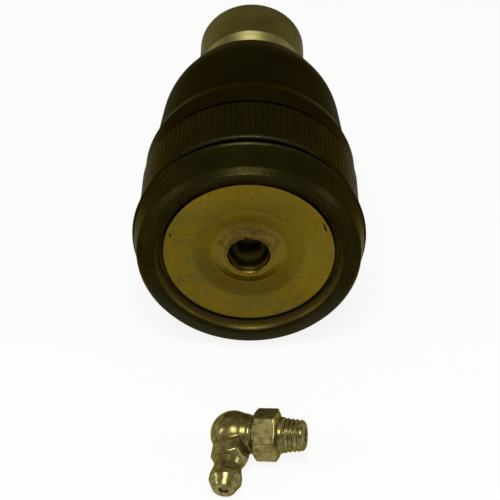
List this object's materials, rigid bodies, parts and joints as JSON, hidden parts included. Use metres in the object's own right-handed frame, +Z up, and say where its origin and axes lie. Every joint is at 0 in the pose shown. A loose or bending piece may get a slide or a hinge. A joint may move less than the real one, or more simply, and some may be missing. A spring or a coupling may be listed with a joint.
{
  "type": "suspension ball joint",
  "caption": "Greasable press-in suspension ball joint with serrated housing, gold cover, rubber boot, plain clamp stud and loose elbow grease fitting.",
  "frame": {"origin": "centre of the ball, on the joint's axis within the press band", "axes": "+Y along the joint's axis from the cover to the stud's free end, +Z up as the joint lies on its side, +X to the right seen from the cover"},
  "size_m": [0.0502, 0.1305, 0.0502],
  "materials": {
    "black_steel": "black phosphate, oiled",
    "black_ring": "black coated steel, satin",
    "gold_zinc": "yellow zinc plate, satin",
    "forged_steel": "turned, oiled",
    "sintered_steel": "matt sintered",
    "spring_steel": "bright, oiled",
    "boot_rubber": "smooth moulded",
    "bush_plastic": "natural nylon",
    "fitting_zinc": "yellow zinc plate, bright"
  },
  "bodies": {
    "housing": {"housing": "black_steel", "cover_plate": "gold_zinc", "spring_washer": "spring_steel", "upper_bearing": "sintered_steel", "boot_retaining_ring": "black_ring", "dust_boot": "boot_rubber", "fitting_elbow": "fitting_zinc", "fitting_nipple": "fitting_zinc", "check_spring": "spring_steel"},
    "pressure_pad": {"pressure_pad": "sintered_steel"},
    "boot_neck": {"neck_bush": "bush_plastic", "neck_clamp": "spring_steel"},
    "stud": {"ball_stud": "forged_steel"},
    "check_ball": {"check_ball": "spring_steel"}
  },
  "joints": [
    {"name": "pad_turn", "type": "hinge", "parent": "housing", "child": "pressure_pad", "pos_m": [0, 0, 0], "axis": [0, 1, 0], "continuous": true},
    {"name": "stud_swing", "type": "hinge", "parent": "pressure_pad", "child": "boot_neck", "pos_m": [0, 0, 0], "axis": [1, 0, 0], "range_deg": [-25, 25], "deforming": ["dust_boot"]},
    {"name": "stud_spin", "type": "hinge", "parent": "boot_neck", "child": "stud", "pos_m": [0, 0, 0], "axis": [0, 1, 0], "continuous": true},
    {"name": "check_ball_slide", "type": "slide", "parent": "housing", "child": "check_ball", "axis": [0.137, 0.9819, 0.1305], "range_m": [0, 0.0015], "stiffness_N_per_m": 60, "springref_m": -0.002, "deforming": ["check_spring"]}
  ]
}
